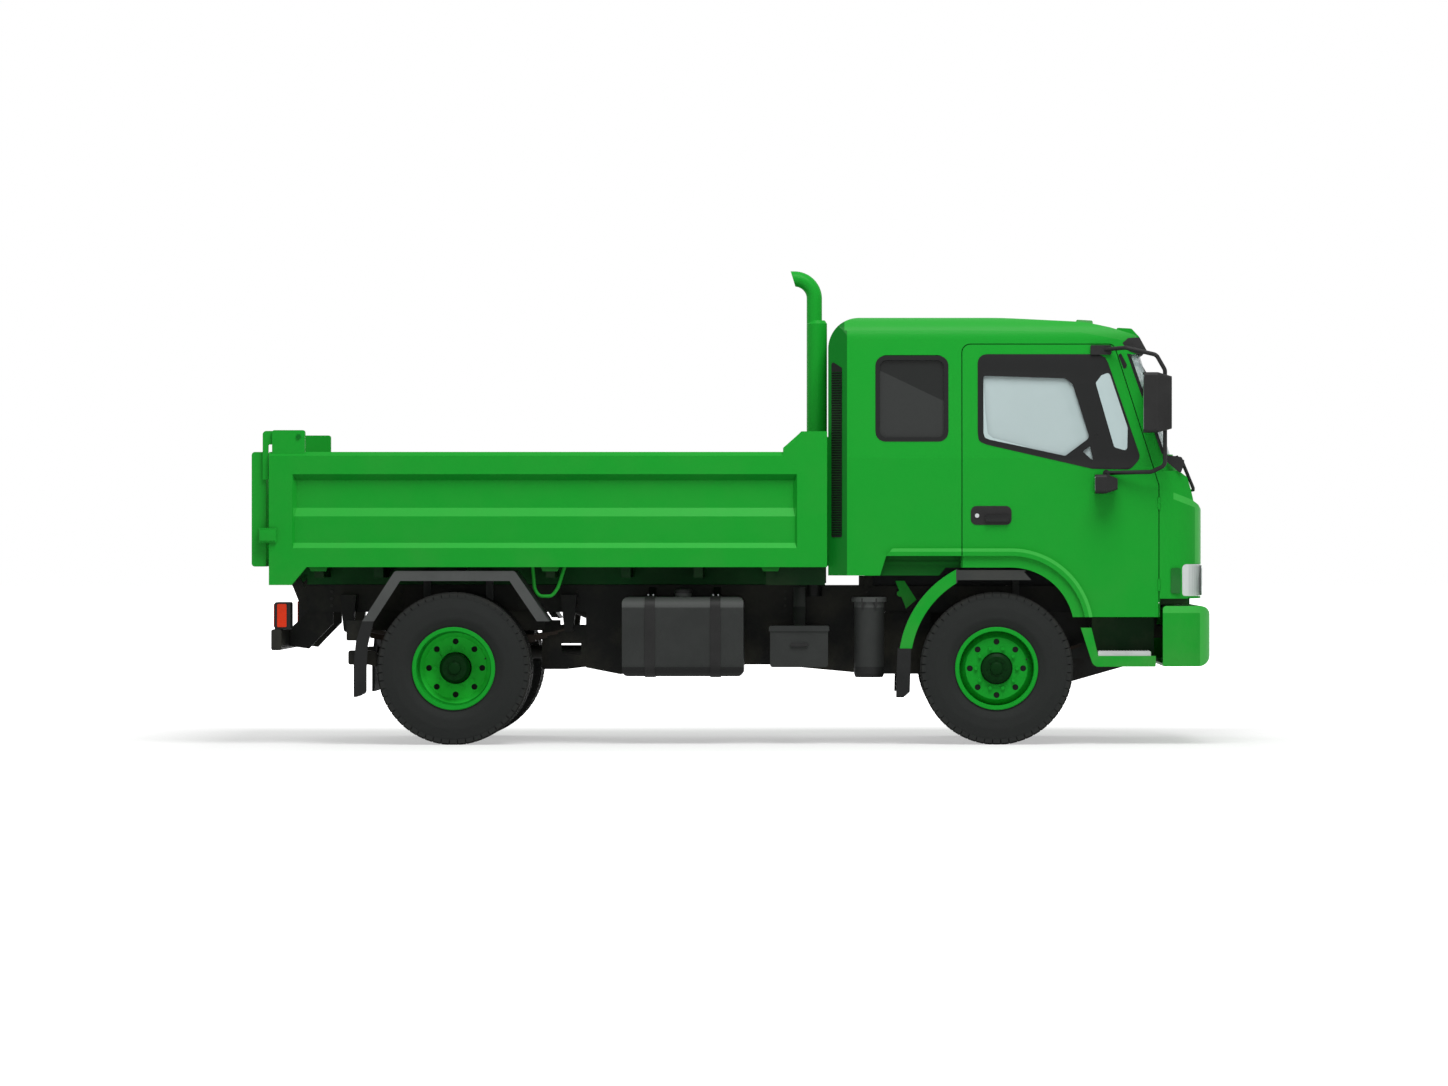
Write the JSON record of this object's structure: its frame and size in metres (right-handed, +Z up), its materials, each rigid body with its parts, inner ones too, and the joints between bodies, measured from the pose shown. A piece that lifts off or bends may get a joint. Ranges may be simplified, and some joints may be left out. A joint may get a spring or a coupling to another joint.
{
  "type": "dump truck",
  "caption": "Cab-over dump truck with extended tilting cab, tipping bed on a telescopic lift, swinging tailgate, twin rear tyres, upright exhaust and opening doors.",
  "frame": {"origin": "on the ground, at the middle of the truck's length and width", "axes": "+X forwards, +Y to the truck's left, +Z up"},
  "size_m": [6.358, 2.73, 3.16],
  "materials": {
    "cab_green": "gloss",
    "door_green": "gloss",
    "bed_green": "satin",
    "guard_green": "satin",
    "bumper_green": "gloss",
    "frame_black": "satin",
    "trim_black": "matt",
    "tread_rubber": "matt",
    "flap_rubber": "matt",
    "wheel_steel": "satin",
    "cast_grey": "matt",
    "spring_steel": "matt",
    "rod_chrome": "polished",
    "tank_metal": "satin",
    "stack_steel": "satin",
    "clear_glass": "clear",
    "lamp_lens": "gloss",
    "tail_lens": "gloss",
    "seat_cloth": "woven",
    "cab_lining": "matt"
  },
  "bodies": {
    "chassis": {"chassis_frame": "frame_black", "front_bumper": "bumper_green", "rear_underrun_bar": "frame_black", "tail_lamps": "tail_lens", "fuel_tank": "tank_metal", "fuel_tank_brackets": "frame_black", "battery_box": "trim_black", "air_reservoirs": "frame_black", "air_cleaner": "tank_metal", "splash_plate": "trim_black", "exhaust_stack": "stack_steel", "rear_mudguards": "guard_green", "front_mudguards": "guard_green", "mud_flaps": "flap_rubber", "cab_steps": "trim_black", "engine": "cast_grey", "propeller_shaft": "frame_black", "front_axle": "frame_black", "rear_axle": "frame_black", "leaf_springs": "spring_steel"},
    "cab": {"cab_shell": "cab_green", "cab_floor": "cab_lining", "front_panel": "cab_green", "cab_glass": "clear_glass", "sun_visor": "cab_green", "cab_lamps": "lamp_lens", "seats": "seat_cloth", "dashboard": "cab_lining", "cowl_bar": "trim_black"},
    "steering_wheel": {"steering_wheel": "trim_black"},
    "left_door": {"left_door": "door_green", "left_door_glass": "clear_glass", "left_mirrors": "trim_black"},
    "right_door": {"right_door": "door_green", "right_door_glass": "clear_glass", "right_mirrors": "trim_black"},
    "bed": {"bed_floor": "bed_green", "bed_sides": "bed_green", "bed_headboard": "bed_green", "bed_subframe": "frame_black"},
    "tailgate": {"tailgate": "bed_green", "tailgate_fittings": "frame_black"},
    "lift_barrel": {"lift_barrel": "frame_black"},
    "lift_stage": {"lift_stage": "rod_chrome"},
    "lift_rod": {"lift_rod": "rod_chrome"},
    "left_knuckle": {"left_knuckle": "cast_grey"},
    "right_knuckle": {"right_knuckle": "cast_grey"},
    "tie_rod": {"tie_rod": "frame_black"},
    "front_left_wheel": {"front_left_tyre": "tread_rubber", "front_left_wheel": "wheel_steel"},
    "front_right_wheel": {"front_right_tyre": "tread_rubber", "front_right_wheel": "wheel_steel"},
    "rear_left_wheels": {"rear_left_tyres": "tread_rubber", "rear_left_wheels": "wheel_steel"},
    "rear_right_wheels": {"rear_right_tyres": "tread_rubber", "rear_right_wheels": "wheel_steel"}
  },
  "joints": [
    {"name": "bed_tip", "type": "hinge", "parent": "chassis", "child": "bed", "pos_m": [-2.971, 0, 1.112], "axis": [0, -1, 0], "range_deg": [0, 45]},
    {"name": "tailgate_swing", "type": "hinge", "parent": "bed", "child": "tailgate", "pos_m": [-2.865, 0, 2.041], "axis": [0, 1, 0], "range_deg": [0, 80]},
    {"name": "lift_swing", "type": "hinge", "parent": "chassis", "child": "lift_barrel", "pos_m": [-0.7, 0, 0.78], "axis": [0, 1, 0], "range_deg": [0, 26.41]},
    {"name": "lift_stage_slide", "type": "slide", "parent": "lift_barrel", "child": "lift_stage", "axis": [-0.9228, 0, 0.3854], "range_m": [0, 0.5003]},
    {"name": "lift_rod_slide", "type": "slide", "parent": "lift_stage", "child": "lift_rod", "axis": [-0.9228, 0, 0.3854], "range_m": [0, 0.5003]},
    {"name": "cab_tilt", "type": "hinge", "parent": "chassis", "child": "cab", "pos_m": [3.035, 0, 1.04], "axis": [0, 1, 0], "range_deg": [0, 45]},
    {"name": "left_door_hinge", "type": "hinge", "parent": "cab", "child": "left_door", "pos_m": [2.834, 1.12, 1.5], "axis": [0, 0, -1], "range_deg": [0, 65]},
    {"name": "right_door_hinge", "type": "hinge", "parent": "cab", "child": "right_door", "pos_m": [2.834, -1.12, 1.5], "axis": [0, 0, 1], "range_deg": [0, 65]},
    {"name": "steering_wheel_turn", "type": "hinge", "parent": "cab", "child": "steering_wheel", "pos_m": [2.21, 0.64, 1.912], "axis": [-0.6018, 0, 0.7986], "range_deg": [-540, 540]},
    {"name": "left_steer", "type": "hinge", "parent": "chassis", "child": "left_knuckle", "pos_m": [1.76, 0.8, 0.505], "axis": [0, 0, 1], "range_deg": [-35, 35]},
    {"name": "right_steer", "type": "hinge", "parent": "chassis", "child": "right_knuckle", "pos_m": [1.76, -0.8, 0.505], "axis": [0, 0, 1], "range_deg": [-35, 35]},
    {"name": "tie_rod_pivot", "type": "hinge", "parent": "left_knuckle", "child": "tie_rod", "pos_m": [1.56, 0.8, 0.4], "axis": [0, 0, 1], "range_deg": [-35, 35]},
    {"name": "front_left_spin", "type": "hinge", "parent": "left_knuckle", "child": "front_left_wheel", "pos_m": [1.76, 0.95, 0.505], "axis": [0, 1, 0], "continuous": true},
    {"name": "front_right_spin", "type": "hinge", "parent": "right_knuckle", "child": "front_right_wheel", "pos_m": [1.76, -0.95, 0.505], "axis": [0, 1, 0], "continuous": true},
    {"name": "rear_left_spin", "type": "hinge", "parent": "chassis", "child": "rear_left_wheels", "pos_m": [-1.84, 0.8565, 0.505], "axis": [0, 1, 0], "continuous": true},
    {"name": "rear_right_spin", "type": "hinge", "parent": "chassis", "child": "rear_right_wheels", "pos_m": [-1.84, -0.8565, 0.505], "axis": [0, 1, 0], "continuous": true}
  ],
  "couplings": [
    {"joint": "lift_swing", "follows": "bed_tip", "ratio": 0.5858},
    {"joint": "lift_stage_slide", "follows": "bed_tip", "m_per_rad": 0.63636},
    {"joint": "lift_rod_slide", "follows": "bed_tip", "m_per_rad": 0.63636},
    {"joint": "right_steer", "follows": "left_steer", "ratio": 1},
    {"joint": "tie_rod_pivot", "follows": "left_steer", "ratio": -1},
    {"joint": "steering_wheel_turn", "follows": "left_steer", "ratio": 15}
  ]
}
